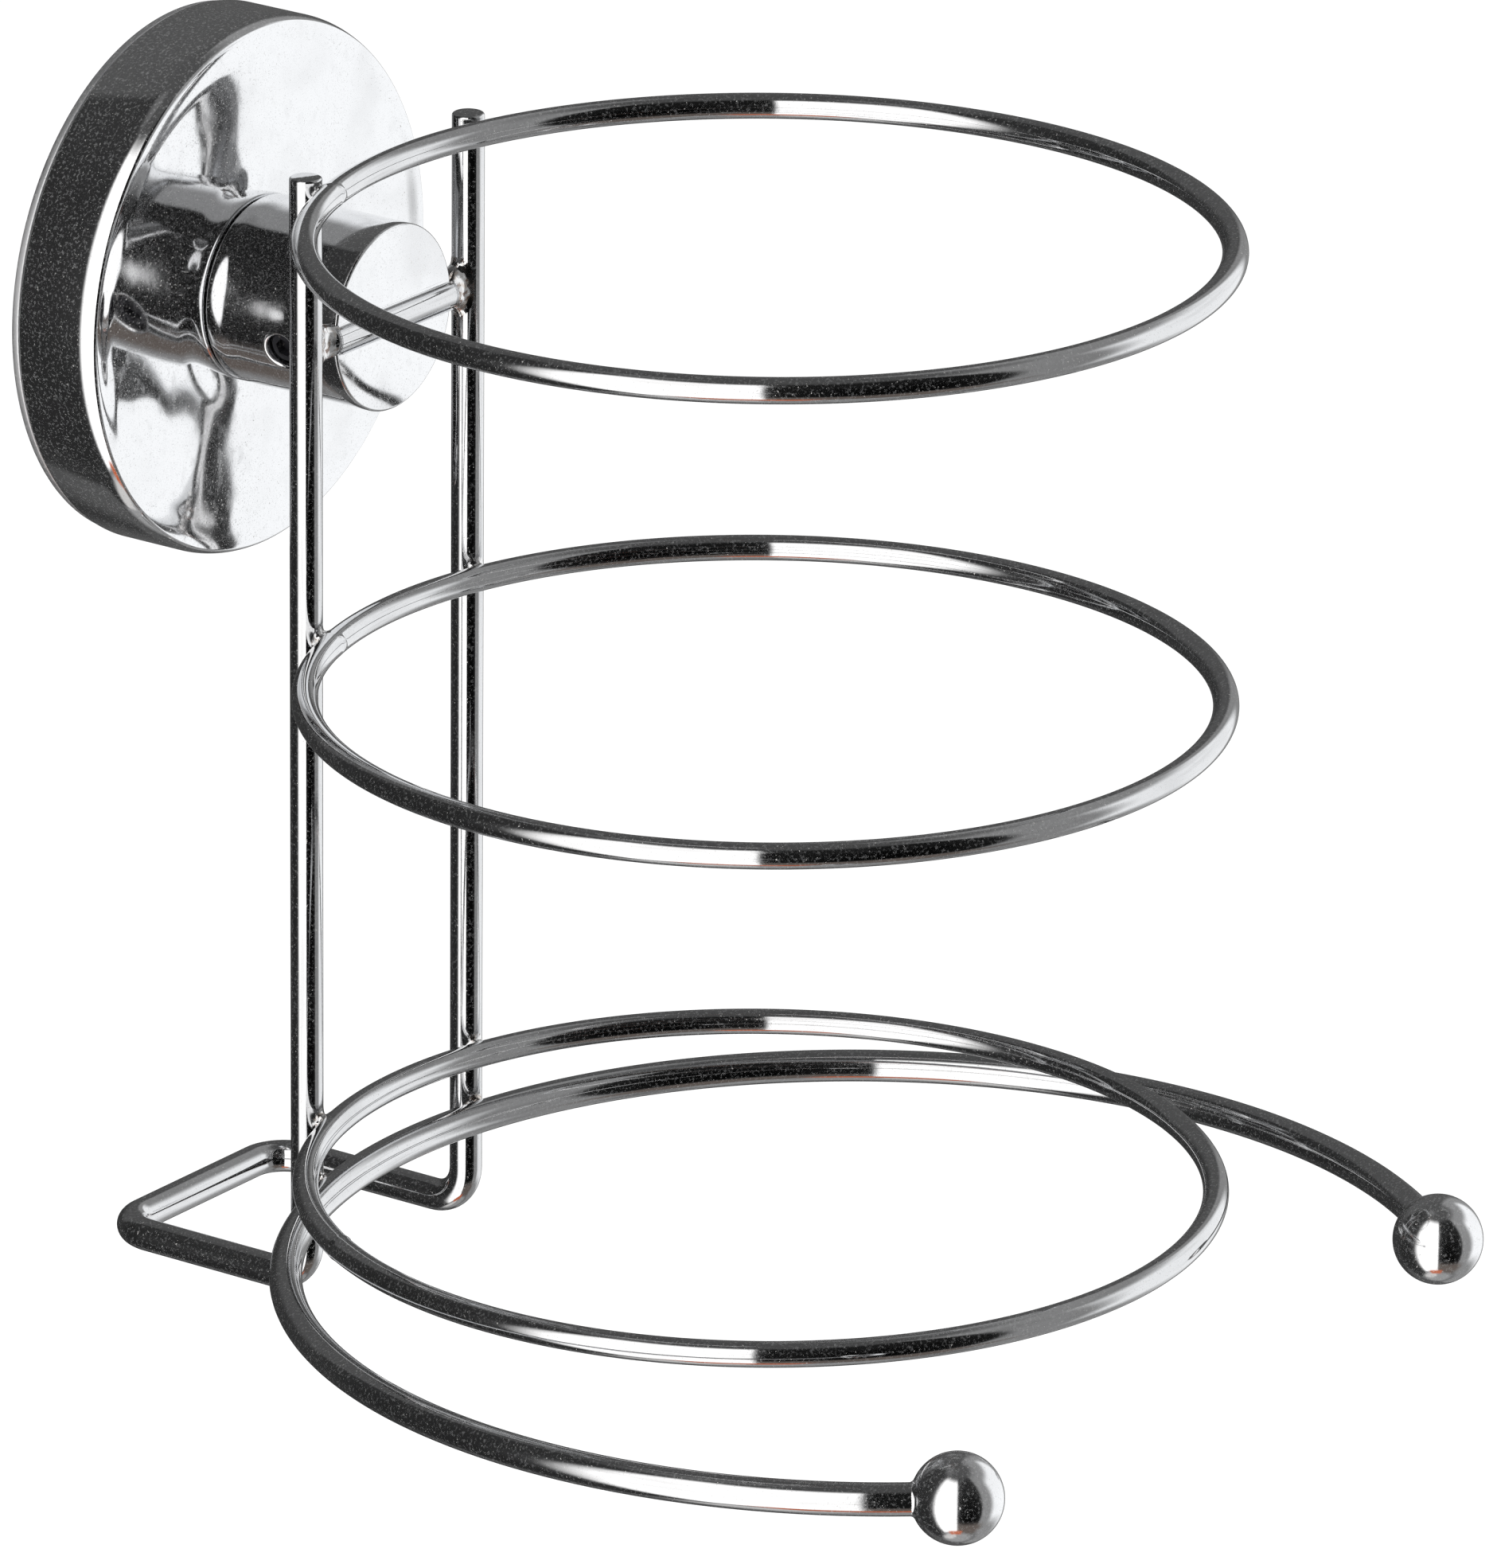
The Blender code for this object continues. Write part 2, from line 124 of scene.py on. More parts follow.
# ---- mesh helpers ---------------------------------------------------------------
def from_bmesh(name, bm, mat, body, replaces=(), sharp_deg=35.0):
    """One smooth-shaded piece from a bmesh, riding on a body of the frame."""
    bmesh.ops.recalc_face_normals(bm, faces=bm.faces)
    me = bpy.data.meshes.new(name)
    bm.to_mesh(me)
    bm.free()
    me.materials.append(mat)
    me.shade_smooth()
    me.set_sharp_from_angle(angle=math.radians(sharp_deg))
    ob = bpy.data.objects.new(name, me)
    bpy.context.collection.objects.link(ob)
    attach(ob, body)
    if replaces:
        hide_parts(*replaces)
    return ob


def bridge(bm, a, b):
    """Quads between two closed loops of the same length."""
    n = len(a)
    for k in range(n):
        bm.faces.new((a[k], a[(k + 1) % n], b[(k + 1) % n], b[k]))


def turned_loop(bm, radius, y, segments=TURNED_SEGMENTS):
    """Closed loop of vertices about the Y axis."""
    return [bm.verts.new((radius * math.cos(a), y, radius * math.sin(a)))
            for a in spread(0, 2 * math.pi, segments)[:-1]]


def turn_further(bm, last, profile):
    """Carry a turned wall on from its last loop through (radius, y) points."""
    for radius, y in profile:
        loop = turned_loop(bm, radius, y)
        bridge(bm, last, loop)
        last = loop
    return last


def turned(profile, segments=TURNED_SEGMENTS):
    """Bmesh of a closed (radius, y) profile turned about the Y axis."""
    bm = bmesh.new()
    loops = [[bm.verts.new((0, y, 0))] if radius < ON_AXIS
             else turned_loop(bm, radius, y, segments) for radius, y in profile]
    for a, b in zip(loops, loops[1:] + loops[:1]):
        if len(a) > 1 and len(b) > 1:
            bridge(bm, a, b)
        elif len(a) > 1 or len(b) > 1:
            tip, ring = (a[0], b) if len(a) == 1 else (b[0], a)
            for k in range(segments):
                bm.faces.new((tip, ring[k], ring[(k + 1) % segments]))
    return bm


def quarter(centre, radius, start_deg, end_deg, steps=8):
    """Points of an arc in a turned profile's (radius, y) plane."""
    out = []
    for k in range(steps + 1):
        a = math.radians(start_deg + (end_deg - start_deg) * k / steps)
        out.append((centre[0] + radius * math.cos(a), centre[1] + radius * math.sin(a)))
    return out


def sweep(path, radius, closed=False, sides=WIRE_SIDES, end_round=0.25 * MM, swell=None):
    """Bmesh of a round wire along a path, its free ends cut square with a worn edge.

    Every vertex stores its place on the wire, (length along, across, across), for the
    drawing marks.  swell gives the extra radius at a point of the path and an angle there.
    """
    pts = [Vector(p) for p in path]
    n = len(pts)
    tangents = []
    for k in range(n):
        a = pts[(k - 1) % n] if closed or k else pts[0]
        b = pts[(k + 1) % n] if closed or k < n - 1 else pts[-1]
        tangents.append((b - a).normalized())
    # The first sideways direction is level, unless the wire starts nearly upright.
    side = Z.cross(tangents[0]) if abs(tangents[0].z) < 0.9 else tangents[0].orthogonal()
    frames = []
    for tangent in tangents:
        side = (side - side.dot(tangent) * tangent).normalized()
        frames.append(side.copy())
    bm = bmesh.new()
    along = bm.verts.layers.float_vector.new(ALONG)

    def loop_at(centre, k, wire_r, length):
        """One loop round the wire at a point of the path."""
        u = frames[k]
        v = tangents[k].cross(u)
        loop = []
        for j in range(sides):
            a = 2 * math.pi * j / sides
            r = wire_r + (swell(k, a) if swell else 0.0)
            vert = bm.verts.new(centre + r * (math.cos(a) * u + math.sin(a) * v))
            vert[along] = (length, r * math.cos(a), r * math.sin(a))
            loop.append(vert)
        return loop

    def rounded_end(k, outwards, length):
        """Loops of the worn edge, from the wire's full radius to its flat end."""
        for a in QUARTER_STEPS:
            centre = pts[k] + outwards * end_round * (math.sin(a) - 1) * tangents[k]
            yield loop_at(centre, k, radius - end_round * (1 - math.cos(a)), length)

    lengths = [0.0]
    for a, b in zip(pts, pts[1:]):
        lengths.append(lengths[-1] + (b - a).length)
    loops = []
    if not closed:
        loops.extend(reversed(list(rounded_end(0, -1, lengths[0]))))
    for k in range(n):
        centre = pts[k]
        if not closed and k in (0, n - 1):
            centre = pts[k] + (end_round if k == 0 else -end_round) * tangents[k]
        loops.append(loop_at(centre, k, radius, lengths[k]))
    if not closed:
        loops.extend(rounded_end(n - 1, 1, lengths[-1]))
    for a, b in zip(loops, loops[1:]):
        bridge(bm, a, b)
    if closed:
        bridge(bm, loops[-1], loops[0])
    else:
        bm.faces.new(loops[0][::-1])
        bm.faces.new(loops[-1])
    return bm


def spread(start, end, steps):
    """Evenly spaced values from start to end, both included."""
    return [start + (end - start) * k / steps for k in range(steps + 1)]


def circle_path(centre, radius, angles):
    """Points of a horizontal circle at the given angles (radians)."""
    return [centre + radius * Vector((math.cos(a), math.sin(a), 0)) for a in angles]


def rounded_path(corners, radius, steps=18, spacing=3 * MM):
    """A polyline with rounded corners and evenly spaced points on its straights."""
    c = [Vector(p) for p in corners]
    out = [c[0]]

    def straight_to(q):
        """Evenly spaced points from the last one to q."""
        p = out[-1]
        count = max(1, int((q - p).length / spacing))
        out.extend(p.lerp(q, k / count) for k in range(1, count + 1))

    for p, q, r in zip(c, c[1:], c[2:]):
        u, v = (p - q).normalized(), (r - q).normalized()
        half = math.acos(max(-1.0, min(1.0, u.dot(v)))) / 2
        back = radius / math.tan(half)
        centre = q + (u + v).normalized() * (radius / math.sin(half))
        s, e = q + u * back - centre, q + v * back - centre
        total = s.angle(e)
        straight_to(centre + s)
        for k in range(1, steps + 1):
            f = k / steps
            w = (math.sin((1 - f) * total) * s + math.sin(f * total) * e) / math.sin(total)
            out.append(centre + w)
    straight_to(c[-1])
    return out


# ---- camera ---------------------------------------------------------------------
# Angles in degrees, the lens and the sensor in millimetres, the rest in metres.
CAMERA_AZIMUTH = -54.49
CAMERA_ELEVATION = 19.88
CAMERA_ROLL = 0.53
CAMERA_DISTANCE = 1.6865
CAMERA_TARGET = Vector((0.0, -0.060, -0.050))
CAMERA_SIDE = 0.01718
CAMERA_RISE = -0.00038
CAMERA_LENS = 338.1
CAMERA_SENSOR = 36.0
CAMERA_CLIP = (0.05, 50.0)


def direction(azimuth, elevation):
    """Unit vector towards an azimuth and an elevation (radians); azimuth 0 is the front."""
    return Vector((math.sin(azimuth) * math.cos(elevation),
                   -math.cos(azimuth) * math.cos(elevation), math.sin(elevation)))


def add_camera():
    """Long lens from the front left and above, as the holder is looked at."""
    azimuth = math.radians(CAMERA_AZIMUTH)
    roll = math.radians(CAMERA_ROLL)
    back = direction(azimuth, math.radians(CAMERA_ELEVATION))
    level = Vector((math.cos(azimuth), math.sin(azimuth), 0))
    rise = back.cross(level)
    right = math.cos(roll) * level + math.sin(roll) * rise
    up = math.cos(roll) * rise - math.sin(roll) * level
    data = bpy.data.cameras.new("camera")
    data.lens = CAMERA_LENS
    data.sensor_width = CAMERA_SENSOR
    data.clip_start, data.clip_end = CAMERA_CLIP
    ob = bpy.data.objects.new("camera", data)
    bpy.context.collection.objects.link(ob)
    ob.matrix_world = Matrix((right, up, back)).transposed().to_4x4()
    ob.location = CAMERA_TARGET + CAMERA_DISTANCE * back + CAMERA_SIDE * right + CAMERA_RISE * up
    bpy.context.scene.camera = ob


# ---- studio ---------------------------------------------------------------------
PALE = (0.985, 0.985, 0.985, 1.0)
FLOOR_COLOUR = (0.97, 0.97, 0.97, 1.0)
FLOOR_DROP = 0.30             # metres below the holder
FLOOR_HALF = 6.0
COLOUR_A, COLOUR_B, MIXED = 6, 7, 2   # colour sockets of the Mix node


class Nodes:
    """Small builder for node trees; most calls add a node and return its output."""

    def __init__(self, tree):
        self.tree = tree
        self.tree.nodes.clear()

    def add(self, kind, **values):
        """A new node with its settings."""
        node = self.tree.nodes.new(kind)
        for key, value in values.items():
            setattr(node, key, value)
        return node

    def feed(self, node, socket, value):
        """Link an output to a node's socket, or set the socket to a plain value."""
        target = node.inputs[socket]
        if isinstance(value, bpy.types.NodeSocket):
            self.tree.links.new(value, target)
        else:
            target.default_value = value

    def math(self, operation, *args):
        """One operation on numbers or on other nodes' outputs."""
        node = self.add("ShaderNodeMath", operation=operation)
        for k, value in enumerate(args):
            self.feed(node, k, value)
        return node.outputs[0]

    def mix(self, factor, a, b):
        """Colour a where the factor is 0 and b where it is 1."""
        node = self.add("ShaderNodeMix", data_type="RGBA")
        self.feed(node, "Factor", factor)
        self.feed(node, COLOUR_A, a)
        self.feed(node, COLOUR_B, b)
        return node.outputs[MIXED]

    def between(self, factor, low, high):
        """A number that goes from low to high as the factor goes from 0 to 1."""
        return self.math("MULTIPLY_ADD", factor, high - low, low)

    def step(self, value, low, high):
        """Smooth rise from 0 at low to 1 at high."""
        node = self.add("ShaderNodeMapRange", interpolation_type="SMOOTHSTEP")
        self.feed(node, "Value", value)
        node.inputs["From Min"].default_value = low
        node.inputs["From Max"].default_value = high
        return node.outputs["Result"]


def grey(value, warmth=0.0):
    """A grey, warmed towards brown or cooled towards blue."""
    return (value * (1 + warmth), value, value * (1 - warmth), 1.0)


# Studio surroundings that the chrome reflects, painted one over the other, in degrees.
# Azimuth 0 is the side that the holder faces and 90 its right; elevation is above the
# horizon.  A span's softness is the width of its fading edge at either end.
PANELS = [
    # name, azimuth span, its softness, elevation span, its softness, colour
    ("pale floor all round", (-180, 180), (0, 0), (-91, -70), (0, 12), grey(0.36)),
    ("lit floor at the left", (-180, -62), (0, 3), (-86, -72), (6, 8), grey(0.70, 0.02)),
    ("dim rear left", (-183, -120), (4, 16), (-72, 66), (8, 14), grey(0.036)),
    ("dark rear left", (-168, -130), (14, 10), (-56, 40), (16, 30), grey(0.026)),
    ("band of ceiling at the rear", (-180, -118), (20, 10), (68, 82), (14, 8), grey(0.16)),
    ("grey rear right", (110, 178), (8, 8), (-62, 50), (12, 20), grey(0.10)),
    ("dark rear right", (136, 182), (16, 8), (-46, 12), (10, 20), grey(0.040)),
    ("grey wall on the right", (5, 113), (5, 8), (-66, 62), (14, 22), grey(0.30)),
    ("bright wall on the right", (38, 98), (18, 9), (-36, 33), (20, 18), grey(1.14, -0.01)),
    ("dark room behind the camera", (-60, 6), (2, 9), (-44, 66), (16, 20), grey(0.010)),
    ("brown floor by the camera", (-60, 24), (2, 30), (-70, -44), (8, 14),
     (0.150, 0.126, 0.112, 1.0)),
    ("person at the camera", (-40, -8), (12, 10), (-42, 26), (20, 14), grey(0.003)),
    ("tall softbox on the left", (-112, -56), (16, 2), (-67, 62), (4, 16), grey(1.6, 0.01)),
    ("orange thing on the floor", (-92, -34), (12, 10), (-76, -64), (4, 4),
     (0.62, 0.17, 0.08, 1.0)),
]
SURROUND = grey(0.085)
HARD_EDGE = 0.01              # least width of a panel's edge, in degrees


def span(n, value, limits, soft):
    """1 inside the limits and 0 outside, each edge as soft as asked."""
    low, high = limits
    rise = n.step(value, low - soft[0] / 2, low + soft[0] / 2 + HARD_EDGE)
    fall = n.step(value, high + soft[1] / 2 + HARD_EDGE, high - soft[1] / 2)
    return n.math("MULTIPLY", rise, fall)


def add_world():
    """Pale to the camera and to matt surfaces; a dark studio with panels to the chrome."""
    world = bpy.data.worlds.new("studio")
    bpy.context.scene.world = world
    world.use_nodes = True
    n = Nodes(world.node_tree)
    # In a world, Generated coordinates are the direction that a ray goes in.
    coords = n.add("ShaderNodeTexCoord")
    split = n.add("ShaderNodeSeparateXYZ")
    n.feed(split, 0, coords.outputs["Generated"])
    x, y, z = split.outputs
    to_deg = 180 / math.pi
    azimuth = n.math("MULTIPLY", n.math("ARCTAN2", x, n.math("MULTIPLY", y, -1.0)), to_deg)
    elevation = n.math("MULTIPLY", n.math("ARCSINE", z), to_deg)
    colour = SURROUND
    for _, az, az_soft, el, el_soft, paint in PANELS:
        middle = (az[0] + az[1]) / 2
        off = n.math("WRAP", n.math("SUBTRACT", azimuth, middle), 180.0, -180.0)
        half = (az[1] - az[0]) / 2
        across = span(n, off, (-half, half), az_soft)
        upright = span(n, elevation, el, el_soft)
        colour = n.mix(n.math("MULTIPLY", across, upright), colour, paint)
    path = n.add("ShaderNodeLightPath")
    seen = n.mix(path.outputs["Is Glossy Ray"], PALE, colour)
    back = n.add("ShaderNodeBackground")
    n.feed(back, "Color", seen)
    out = n.add("ShaderNodeOutputWorld")
    n.feed(out, "Surface", back.outputs[0])


def add_floor():
    """Plain pale floor well below the holder, which hangs as on a wall."""
    bm = bmesh.new()
    bmesh.ops.create_grid(bm, x_segments=8, y_segments=8, size=FLOOR_HALF)
    me = bpy.data.meshes.new("floor")
    bm.to_mesh(me)
    bm.free()
    mat = bpy.data.materials.new("floor")
    mat.use_nodes = True
    bsdf = mat.node_tree.nodes["Principled BSDF"]
    bsdf.inputs["Base Color"].default_value = FLOOR_COLOUR
    bsdf.inputs["Roughness"].default_value = 0.9
    bsdf.inputs["Specular IOR Level"].default_value = 0.0
    me.materials.append(mat)
    ob = bpy.data.objects.new("floor", me)
    bpy.context.collection.objects.link(ob)
    ob.location.z = CAD_BOX[0].z - FLOOR_DROP
    ob.visible_glossy = False


def add_softbox(name, azimuth, elevation, distance, size, power):
    """Soft area light aimed at the holder; angles in degrees, power in watts."""
    data = bpy.data.lights.new(name, "AREA")
    data.shape = "RECTANGLE"
    data.size, data.size_y = size
    data.energy = power
    ob = bpy.data.objects.new(name, data)
    bpy.context.collection.objects.link(ob)
    back = direction(math.radians(azimuth), math.radians(elevation))
    ob.location = CAMERA_TARGET + distance * back
    ob.rotation_mode = "QUATERNION"
    ob.rotation_quaternion = back.to_track_quat("Z", "Y")
    ob.visible_glossy = False
    ob.visible_camera = False


def add_studio():
    """Plain colours, the surroundings, the floor and two soft lights."""
    bpy.context.scene.view_settings.view_transform = "Standard"
    add_world()
    add_floor()
    add_softbox("softbox_left", azimuth=-98, elevation=30, distance=1.6,
                size=(1.2, 1.6), power=9.0)
    add_softbox("softbox_right", azimuth=60, elevation=40, distance=1.6,
                size=(1.2, 1.2), power=5.0)


# ---- materials ------------------------------------------------------------------
# Noise scales are in features per metre and bump depths in metres.
PLATE_BRIGHT = (0.83, 0.835, 0.845)
PLATE_DULL = (0.56, 0.56, 0.565)
PLATE_DUST = (0.80, 0.79, 0.77)
HAZE_SHADE = 0.35             # how far haze and pits take the plating from bright to dull
PIT_SHADE = 0.75
DUST_MATT = 0.14              # how far dust takes the surface from mirror to matt
DUST_ROUGH = 0.4
PIT_ROUGH = 0.10
GRAIN_DEPTH = 0.5e-6
MARK_DEPTH = 1.6e-6

WELD_BRIGHT = (0.78, 0.78, 0.78)
WELD_STRAW = (0.52, 0.43, 0.35)
WELD_BROWN = (0.20, 0.12, 0.085)
STRAW_SHARE = 0.6             # how far the heat tints cover the plating
BROWN_SHARE = 0.8

STEEL = (0.45, 0.46, 0.47)
ZINC = (0.62, 0.63, 0.64)
OXIDE = (0.03, 0.03, 0.035)
OXIDE_WORN = (0.22, 0.21, 0.2)
NYLON_DARK = (0.13, 0.13, 0.14)
NYLON_LIGHT = (0.19, 0.19, 0.20)
RUBBER_DARK = (0.62, 0.66, 0.66)
RUBBER_LIGHT = (0.74, 0.77, 0.77)
RUBBER_DUST = (0.86, 0.85, 0.83)
RUBBER_DUST_SHARE = 0.5
RUBBER_RING_PITCH = 1.1 * MM


def rgba(colour, strength=1.0):
    """A shader colour from red, green and blue, dimmed by a strength."""
    return tuple(strength * c for c in colour) + (1.0,)


def new_material(name):
    """A new material with its node builder, its shader and its object coordinates."""
    mat = bpy.data.materials.new(name)
    mat.use_nodes = True
    n = Nodes(mat.node_tree)
    bsdf = n.add("ShaderNodeBsdfPrincipled")
    out = n.add("ShaderNodeOutputMaterial")
    n.feed(out, "Surface", bsdf.outputs[0])
    coords = n.add("ShaderNodeTexCoord").outputs["Object"]
    return mat, n, bsdf, coords


def noise_field(n, coords, scale, detail=3.0, stretch=None):
    """Fractal noise, optionally with its coordinates stretched along each axis."""
    if stretch is not None:
        mapping = n.add("ShaderNodeMapping")
        n.feed(mapping, "Vector", coords)
        mapping.inputs["Scale"].default_value = stretch
        coords = mapping.outputs[0]
    node = n.add("ShaderNodeTexNoise")
    n.feed(node, "Vector", coords)
    node.inputs["Scale"].default_value = scale
    node.inputs["Detail"].default_value = detail
    return node.outputs["Fac"]


def add_bumps(n, bsdf, *layers):
    """Bumps one over the other, each given as its depth and its height field."""
    normal = None
    for depth, height in layers:
        bump = n.add("ShaderNodeBump")
        bump.inputs["Distance"].default_value = depth
        n.feed(bump, "Height", height)
        if normal is not None:
            n.feed(bump, "Normal", normal)
        normal = bump.outputs[0]
    n.feed(bsdf, "Normal", normal)


def chrome(name, polish=0.06, ripple_size=2.0e-6, grain_share=0.11, drawn=False):
    """Bright plating with haze, dust and fine pits; on drawn wire, darker, with marks.

    polish sets the roughness, ripple_size is the depth of the waves in the plating, and
    grain_share is how matt the film of fine grains makes it.
    """
    mat, n, bsdf, coords = new_material(name)
    haze = noise_field(n, coords, scale=90.0, detail=4.0)
    grain = noise_field(n, coords, scale=5200.0, detail=2.0)
    pits = n.step(grain, low=0.58, high=0.74)
    dust = n.step(noise_field(n, coords, scale=4000.0, detail=1.0), low=0.715, high=0.755)
    film = n.step(noise_field(n, coords, scale=3100.0, detail=1.0), low=0.50, high=0.78)
    if drawn:
        place = n.add("ShaderNodeAttribute", attribute_name=ALONG).outputs["Vector"]
        marks = noise_field(n, place, scale=2100.0, detail=4.0, stretch=(0.035, 1.0, 1.0))
        brightness, streak_shade, streak_rough = 0.84, 0.45, 0.05
    else:
        marks = noise_field(n, coords, scale=700.0, detail=4.0, stretch=(1.0, 5.0, 0.6))
        brightness, streak_shade, streak_rough = 1.0, 0.15, 0.04
    streaks = n.step(marks, low=0.50, high=0.70)

    shade = n.math("MULTIPLY", n.step(haze, low=0.45, high=0.75), HAZE_SHADE)
    shade = n.math("MAXIMUM", shade, n.math("MULTIPLY", pits, PIT_SHADE))
    shade = n.math("MAXIMUM", shade, n.math("MULTIPLY", streaks, streak_shade))
    plate = n.mix(shade, rgba(PLATE_BRIGHT, brightness), rgba(PLATE_DULL, brightness))
    n.feed(bsdf, "Base Color", n.mix(dust, plate, rgba(PLATE_DUST)))

    matt = n.math("MULTIPLY_ADD", film, grain_share, n.math("MULTIPLY", dust, DUST_MATT))
    cloudy = n.step(haze, low=0.50, high=0.80)
    matt = n.math("MULTIPLY_ADD", cloudy, 0.1 * grain_share, matt)
    n.feed(bsdf, "Metallic", n.math("SUBTRACT", 1.0, matt))

    rough = n.between(haze, 0.5 * polish, 1.3 * polish)
    rough = n.math("MULTIPLY_ADD", pits, PIT_ROUGH, rough)
    rough = n.math("MULTIPLY_ADD", streaks, streak_rough, rough)
    n.feed(bsdf, "Roughness", n.math("MULTIPLY_ADD", dust, DUST_ROUGH, rough))

    ripple = noise_field(n, coords, scale=260.0, detail=2.0)
    layers = [(ripple_size, ripple), (GRAIN_DEPTH, grain)]
    if drawn:
        layers.append((MARK_DEPTH, marks))
    add_bumps(n, bsdf, *layers)
    return mat


def weld_metal(name, burn):
    """Plated weld: bright but lumpy, with straw and brown heat tint in patches.

    burn widens the brown patches.
    """
    mat, n, bsdf, coords = new_material(name)
    straw = n.step(noise_field(n, coords, scale=900.0), low=0.50, high=0.66)
    brown = n.step(noise_field(n, coords, scale=1500.0), low=0.62 - burn, high=0.74 - burn)
    colour = n.mix(n.math("MULTIPLY", straw, STRAW_SHARE), rgba(WELD_BRIGHT), rgba(WELD_STRAW))
    colour = n.mix(n.math("MULTIPLY", brown, BROWN_SHARE), colour, rgba(WELD_BROWN))
    n.feed(bsdf, "Base Color", colour)
    bsdf.inputs["Metallic"].default_value = 1.0
    n.feed(bsdf, "Roughness", n.between(brown, 0.10, 0.28))
    add_bumps(n, bsdf, (9.0e-6, noise_field(n, coords, scale=2600.0)))
    return mat


def turned_metal(name, tint, polish):
    """Machined metal with fine turning lines round the Y axis."""
    mat, n, bsdf, coords = new_material(name)
    lines = noise_field(n, coords, scale=900.0, detail=4.0, stretch=(0.15, 6.0, 0.15))
    stain = noise_field(n, coords, scale=160.0)
    n.feed(bsdf, "Base Color", n.mix(stain, rgba(tint), rgba(tint, 0.75)))
    bsdf.inputs["Metallic"].default_value = 1.0
    n.feed(bsdf, "Roughness", n.between(lines, polish, polish + 0.2))
    add_bumps(n, bsdf, (1.0e-5, lines))
    return mat


def black_oxide(name):
    """Blackened steel with bare, rubbed spots."""
    mat, n, bsdf, coords = new_material(name)
    worn = n.step(noise_field(n, coords, scale=1400.0, detail=4.0), low=0.60, high=0.72)
    n.feed(bsdf, "Base Color", n.mix(worn, rgba(OXIDE), rgba(OXIDE_WORN)))
    bsdf.inputs["Metallic"].default_value = 0.7
    n.feed(bsdf, "Roughness", n.between(worn, 0.42, 0.30))
    add_bumps(n, bsdf, (8.0e-6, noise_field(n, coords, scale=2200.0, detail=2.0)))
    return mat


def nylon(name):
    """Moulded grey nylon with a fine spark-eroded texture."""
    mat, n, bsdf, coords = new_material(name)
    cloud = noise_field(n, coords, scale=240.0, detail=4.0)
    n.feed(bsdf, "Base Color", n.mix(cloud, rgba(NYLON_DARK), rgba(NYLON_LIGHT)))
    n.feed(bsdf, "Roughness", n.between(cloud, 0.4, 0.6))
    add_bumps(n, bsdf, (2.0e-5, noise_field(n, coords, scale=2400.0, detail=2.0)))
    return mat


def pad_rubber(name):
    """Smooth cloudy elastomer with faint moulding rings and dust."""
    mat, n, bsdf, coords = new_material(name)
    cloud = noise_field(n, coords, scale=120.0, detail=4.0)
    dust = n.step(noise_field(n, coords, scale=2200.0), low=0.66, high=0.74)
    body = n.mix(cloud, rgba(RUBBER_DARK), rgba(RUBBER_LIGHT))
    body = n.mix(n.math("MULTIPLY", dust, RUBBER_DUST_SHARE), body, rgba(RUBBER_DUST))
    n.feed(bsdf, "Base Color", body)
    n.feed(bsdf, "Roughness", n.between(dust, 0.32, 0.62))
    bsdf.inputs["Subsurface Weight"].default_value = 0.25
    bsdf.inputs["Subsurface Radius"].default_value = (2 * MM, 2 * MM, 2 * MM)
    split = n.add("ShaderNodeSeparateXYZ")
    n.feed(split, 0, coords)
    x, _, z = split.outputs
    from_axis = n.math("SQRT", n.math("ADD", n.math("POWER", x, 2.0), n.math("POWER", z, 2.0)))
    rings = n.math("SINE", n.math("MULTIPLY", from_axis, 2 * math.pi / RUBBER_RING_PITCH))
    add_bumps(n, bsdf, (2.5e-5, n.math("MULTIPLY_ADD", rings, 0.5, cloud)))
    return mat


# ---- holder: wires, bar, post, balls ---------------------------------------------
RING_SEAM = {"ring_top": 107.2, "ring_middle": 107.2, "ring_bottom": 149.6}  # degrees round
SEAM_SWELL = 0.13 * MM
SEAM_HALF = 0.45 * MM
SEAM_REACH = 6                # the fine steps reach this many seam halves to either side
SEAM_STEPS = 36
LOOP_STEPS = 300              # steps round a ring or the cradle


def ring_centre(node):
    """Middle of a ring; each has its own height."""
    lo, hi = box(node)
    return Vector((0, (lo.y + hi.y) / 2, (lo.z + hi.z) / 2))


def make_rings(mat):
    """Closed rings of wire, each with the raised seam where its ends were butt-welded."""
    for node in RINGS:
        seam = math.radians(RING_SEAM[node])
        near = SEAM_REACH * SEAM_HALF / RING_R
        angles = spread(seam - near, seam + near, SEAM_STEPS)
        angles += spread(seam + near, seam + 2 * math.pi - near, LOOP_STEPS)[1:-1]

        def swell(k, a):
            """Height of the seam: wandering and uneven round the wire."""
            off = (angles[k] - seam) * RING_R / SEAM_HALF + 0.7 * math.sin(2 * a + 1)
            return SEAM_SWELL * math.exp(-off * off) * (0.55 + 0.45 * math.sin(3 * a + 0.6))

        path = circle_path(ring_centre(node), RING_R, angles)
        bm = sweep(path, RING_WIRE_R, closed=True, swell=swell)
        from_bmesh(node + "_wire", bm, mat, "holder", (node,))


FRAME_END_ROUND = 0.3 * MM


def make_frame(mat):
    """One bent wire: down a vertical, back to the wall, across the foot and up again."""
    path = [(-VERT_X, VERT_Y, VERT_TOP), (-VERT_X, VERT_Y, FOOT_Z),
            (-VERT_X, FOOT_Y, FOOT_Z), (VERT_X, FOOT_Y, FOOT_Z),
            (VERT_X, VERT_Y, FOOT_Z), (VERT_X, VERT_Y, VERT_TOP)]
    bm = sweep(rounded_path(path, BEND_R), FRAME_R, end_round=FRAME_END_ROUND)
    from_bmesh("bent_frame_wire", bm, mat, "holder", ("frame_wire",))


BAR_BURNT = 1.3 * MM          # length of the bar lost to each butt weld
BAR_END_ROUND = 1.4 * MM
BAR_STEPS = 24


